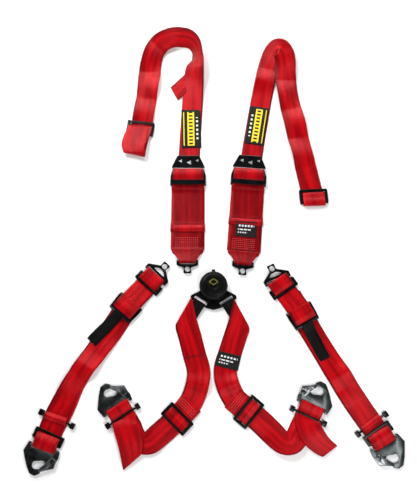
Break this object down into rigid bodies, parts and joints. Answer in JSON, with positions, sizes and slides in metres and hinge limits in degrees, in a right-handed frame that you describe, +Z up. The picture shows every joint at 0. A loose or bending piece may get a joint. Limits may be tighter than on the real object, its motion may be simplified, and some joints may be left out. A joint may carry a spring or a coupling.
{
  "type": "racing harness",
  "caption": "Flat-laid racing harness: rotary quick-release buckle, crotch straps, lap and shoulder belts with adjusters, tongues and snap hooks.",
  "frame": {"origin": "middle of the laid-out harness's bounding box, on the surface it lies on", "axes": "+Y from the snap hooks towards the shoulder loops (longest), +X to the wearer's picture-right, +Z up off the surface (shortest)"},
  "size_m": [0.7832, 1.0357, 0.0285],
  "materials": {
    "red_webbing": "woven polyester with a satin sheen",
    "black_webbing": "woven polyester",
    "label_fabric": null,
    "hook_steel": "dark zinc",
    "gate_steel": "bright zinc",
    "pin_steel": "satin",
    "buckle_black": "black semi-gloss",
    "black_steel": "black gloss"
  },
  "bodies": {
    "buckle": {"buckle_base": "pin_steel", "crotch_plate": "black_steel", "port_spacers": "buckle_black", "buckle_housing": "buckle_black", "buckle_screws": "pin_steel", "return_spring": "gate_steel"},
    "dial": {"release_dial": "buckle_black"},
    "latch": {"latch_pins": "pin_steel"},
    "shoulder_left": {"shoulder_strap_wide_left": "red_webbing"},
    "tongue_shoulder_left": {"tongue_shoulder_left": "black_steel"},
    "adjuster_shoulder_left": {"adjuster_shoulder_left": "black_steel", "lock_bar_shoulder_left": "black_steel"},
    "slim_shoulder_left": {"shoulder_strap_slim_left": "red_webbing", "shoulder_label_left": "label_fabric"},
    "slide_shoulder_left": {"shoulder_slide_left": "black_steel"},
    "lap_left": {"lap_strap_upper_left": "red_webbing"},
    "tongue_lap_left": {"tongue_lap_left": "black_steel"},
    "keeper_lap_left": {"lap_keeper_left": "black_steel"},
    "adjuster_lap_left": {"adjuster_lap_left": "black_steel", "lock_bar_lap_left": "black_steel", "pull_strap_left": "black_webbing"},
    "lower_lap_left": {"lap_strap_lower_left": "red_webbing", "lap_knobs_left": "black_steel"},
    "slide_lap_left": {"lap_slide_left": "black_steel"},
    "hook_lap_left": {"hook_lap_left": "hook_steel"},
    "gate_lap_left": {"gate_lap_left": "gate_steel"},
    "crotch_left": {"crotch_sleeve_left": "black_webbing", "crotch_strap_upper_left": "red_webbing", "crotch_slide_left": "black_steel"},
    "lower_crotch_left": {"crotch_strap_lower_left": "red_webbing", "crotch_keeper_left": "black_steel"},
    "hook_crotch_left": {"hook_crotch_left": "hook_steel"},
    "gate_crotch_left": {"gate_crotch_left": "gate_steel"},
    "shoulder_right": {"shoulder_strap_wide_right": "red_webbing", "care_patch": "label_fabric"},
    "tongue_shoulder_right": {"tongue_shoulder_right": "black_steel"},
    "adjuster_shoulder_right": {"adjuster_shoulder_right": "black_steel", "lock_bar_shoulder_right": "black_steel"},
    "slim_shoulder_right": {"shoulder_strap_slim_right": "red_webbing", "shoulder_label_right": "label_fabric"},
    "slide_shoulder_right": {"shoulder_slide_right": "black_steel"},
    "lap_right": {"lap_strap_upper_right": "red_webbing"},
    "tongue_lap_right": {"tongue_lap_right": "black_steel"},
    "keeper_lap_right": {"lap_keeper_right": "black_steel"},
    "adjuster_lap_right": {"adjuster_lap_right": "black_steel", "lock_bar_lap_right": "black_steel", "pull_strap_right": "black_webbing"},
    "lower_lap_right": {"lap_strap_lower_right": "red_webbing", "lap_knobs_right": "black_steel"},
    "slide_lap_right": {"lap_slide_right": "black_steel"},
    "hook_lap_right": {"hook_lap_right": "hook_steel"},
    "gate_lap_right": {"gate_lap_right": "gate_steel"},
    "crotch_right": {"crotch_sleeve_right": "black_webbing", "crotch_strap_upper_right": "red_webbing", "crotch_slide_right": "black_steel", "crotch_label": "label_fabric"},
    "lower_crotch_right": {"crotch_strap_lower_right": "red_webbing", "crotch_keeper_right": "black_steel"},
    "hook_crotch_right": {"hook_crotch_right": "hook_steel"},
    "gate_crotch_right": {"gate_crotch_right": "gate_steel"}
  },
  "joints": [
    {"name": "dial_turn", "type": "hinge", "parent": "buckle", "child": "dial", "pos_m": [-0.0012, -0.1273, 0.0183], "axis": [0, 0, 1], "range_deg": [0, 45], "stiffness_Nm_per_rad": 0.05},
    {"name": "latch_lift", "type": "slide", "parent": "buckle", "child": "latch", "axis": [0, 0, 1], "range_m": [0, 0.0051]},
    {"name": "lift_shoulder_left", "type": "slide", "parent": "buckle", "child": "shoulder_left", "axis": [0, 0, 1], "range_m": [0, 0.3]},
    {"name": "tongue_swing_shoulder_left", "type": "hinge", "parent": "shoulder_left", "child": "tongue_shoulder_left", "pos_m": [-0.0592, -0.0703, 0.0043], "axis": [-1, 0, 0], "range_deg": [0, 60]},
    {"name": "adjuster_tilt_shoulder_left", "type": "hinge", "parent": "shoulder_left", "child": "adjuster_shoulder_left", "pos_m": [-0.0592, 0.1127, 0.0043], "axis": [1, 0, 0], "range_deg": [0, 35]},
    {"name": "length_shoulder_left", "type": "slide", "parent": "shoulder_left", "child": "slim_shoulder_left", "axis": [0, 1, 0], "range_m": [0, 0.03]},
    {"name": "bar_slide_shoulder_left", "type": "slide", "parent": "slim_shoulder_left", "child": "slide_shoulder_left", "axis": [0.1219, 0.9925, 0], "range_m": [-0.003, 0.003]},
    {"name": "lift_lap_left", "type": "slide", "parent": "buckle", "child": "lap_left", "axis": [0, 0, 1], "range_m": [0, 0.3]},
    {"name": "tongue_swing_lap_left", "type": "hinge", "parent": "lap_left", "child": "tongue_lap_left", "pos_m": [-0.1292, -0.1023, 0.0043], "axis": [0.7193, -0.6947, 0], "range_deg": [0, 60]},
    {"name": "keeper_slide_lap_left", "type": "slide", "parent": "lap_left", "child": "keeper_lap_left", "axis": [-0.6683, -0.7439, 0], "range_m": [0, 0.01]},
    {"name": "adjuster_tilt_lap_left", "type": "hinge", "parent": "lap_left", "child": "adjuster_lap_left", "pos_m": [-0.1822, -0.1613, 0.0043], "axis": [-0.766, 0.6428, 0], "range_deg": [0, 35]},
    {"name": "length_lap_left", "type": "slide", "parent": "lap_left", "child": "lower_lap_left", "axis": [-0.5408, -0.8412, 0], "range_m": [0, 0.025]},
    {"name": "bar_slide_lap_left", "type": "slide", "parent": "lower_lap_left", "child": "slide_lap_left", "axis": [-0.3867, -0.9222, 0], "range_m": [-0.003, 0.003]},
    {"name": "hook_swing_lap_left", "type": "hinge", "parent": "lower_lap_left", "child": "hook_lap_left", "pos_m": [-0.35071, -0.46621, 0.0043], "axis": [-0.9455, 0.3256, 0], "range_deg": [0, 60]},
    {"name": "gate_lap_left_open", "type": "hinge", "parent": "hook_lap_left", "child": "gate_lap_left", "pos_m": [-0.32977, -0.4914, 0.0073], "axis": [0, 0, -1], "range_deg": [0, 28], "stiffness_Nm_per_rad": 0.01, "springref_deg": -11.46},
    {"name": "strap_swing_crotch_left", "type": "hinge", "parent": "buckle", "child": "crotch_left", "pos_m": [-0.03235, -0.1634, 0.0045], "axis": [-0.8536, 0.521, 0], "range_deg": [0, 20]},
    {"name": "length_crotch_left", "type": "slide", "parent": "crotch_left", "child": "lower_crotch_left", "axis": [-0.7372, -0.6757, 0], "range_m": [0, 0.012]},
    {"name": "hook_swing_crotch_left", "type": "hinge", "parent": "lower_crotch_left", "child": "hook_crotch_left", "pos_m": [-0.20309, -0.38253, 0.0043], "axis": [0.8387, 0.5446, 0], "range_deg": [0, 60]},
    {"name": "gate_crotch_left_open", "type": "hinge", "parent": "hook_crotch_left", "child": "gate_crotch_left", "pos_m": [-0.18887, -0.35302, 0.0073], "axis": [0, 0, 1], "range_deg": [0, 28], "stiffness_Nm_per_rad": 0.01, "springref_deg": -11.46},
    {"name": "lift_shoulder_right", "type": "slide", "parent": "buckle", "child": "shoulder_right", "axis": [0, 0, 1], "range_m": [0, 0.3]},
    {"name": "tongue_swing_shoulder_right", "type": "hinge", "parent": "shoulder_right", "child": "tongue_shoulder_right", "pos_m": [0.0648, -0.0743, 0.0043], "axis": [-0.9969, 0.0785, 0], "range_deg": [0, 60]},
    {"name": "adjuster_tilt_shoulder_right", "type": "hinge", "parent": "shoulder_right", "child": "adjuster_shoulder_right", "pos_m": [0.07955, 0.11312, 0.0043], "axis": [0.9969, -0.0785, 0], "range_deg": [0, 35]},
    {"name": "length_shoulder_right", "type": "slide", "parent": "shoulder_right", "child": "slim_shoulder_right", "axis": [0.1564, 0.9877, 0], "range_m": [0, 0.03]},
    {"name": "bar_slide_shoulder_right", "type": "slide", "parent": "slim_shoulder_right", "child": "slide_shoulder_right", "axis": [-0.0523, 0.9986, 0], "range_m": [-0.003, 0.003]},
    {"name": "lift_lap_right", "type": "slide", "parent": "buckle", "child": "lap_right", "axis": [0, 0, 1], "range_m": [0, 0.3]},
    {"name": "tongue_swing_lap_right", "type": "hinge", "parent": "lap_right", "child": "tongue_lap_right", "pos_m": [0.1408, -0.1123, 0.0043], "axis": [0.9063, 0.4226, 0], "range_deg": [0, 60]},
    {"name": "keeper_slide_lap_right", "type": "slide", "parent": "lap_right", "child": "keeper_lap_right", "axis": [0.5606, -0.8281, 0], "range_m": [0, 0.01]},
    {"name": "adjuster_tilt_lap_right", "type": "hinge", "parent": "lap_right", "child": "adjuster_lap_right", "pos_m": [0.1848, -0.1773, 0.0043], "axis": [-0.8746, -0.4848, 0], "range_deg": [0, 35]},
    {"name": "length_lap_right", "type": "slide", "parent": "lap_right", "child": "lower_lap_right", "axis": [0.4985, -0.8669, 0], "range_m": [0, 0.025]},
    {"name": "bar_slide_lap_right", "type": "slide", "parent": "lower_lap_right", "child": "slide_lap_right", "axis": [0.5503, -0.835, 0], "range_m": [-0.003, 0.003]},
    {"name": "hook_swing_lap_right", "type": "hinge", "parent": "lower_lap_right", "child": "hook_lap_right", "pos_m": [0.3508, -0.45662, 0.0043], "axis": [-0.866, -0.5, 0], "range_deg": [0, 60]},
    {"name": "gate_lap_right_open", "type": "hinge", "parent": "hook_lap_right", "child": "gate_lap_right", "pos_m": [0.33505, -0.48534, 0.0073], "axis": [0, 0, 1], "range_deg": [0, 28], "stiffness_Nm_per_rad": 0.01, "springref_deg": -11.46},
    {"name": "strap_swing_crotch_right", "type": "hinge", "parent": "buckle", "child": "crotch_right", "pos_m": [0.02995, -0.1634, 0.0045], "axis": [-0.8536, -0.521, 0], "range_deg": [0, 20]},
    {"name": "length_crotch_right", "type": "slide", "parent": "crotch_right", "child": "lower_crotch_right", "axis": [0.7725, -0.635, 0], "range_m": [0, 0.012]},
    {"name": "hook_swing_crotch_right", "type": "hinge", "parent": "lower_crotch_right", "child": "hook_crotch_right", "pos_m": [0.20525, -0.38117, 0.0043], "axis": [0.9063, -0.4226, 0], "range_deg": [0, 60]},
    {"name": "gate_crotch_right_open", "type": "hinge", "parent": "hook_crotch_right", "child": "gate_crotch_right", "pos_m": [0.18706, -0.35393, 0.0073], "axis": [0, 0, -1], "range_deg": [0, 28], "stiffness_Nm_per_rad": 0.01, "springref_deg": -11.46}
  ],
  "couplings": [
    {"joint": "latch_lift", "follows": "dial_turn", "m_per_rad": 0.00636}
  ]
}
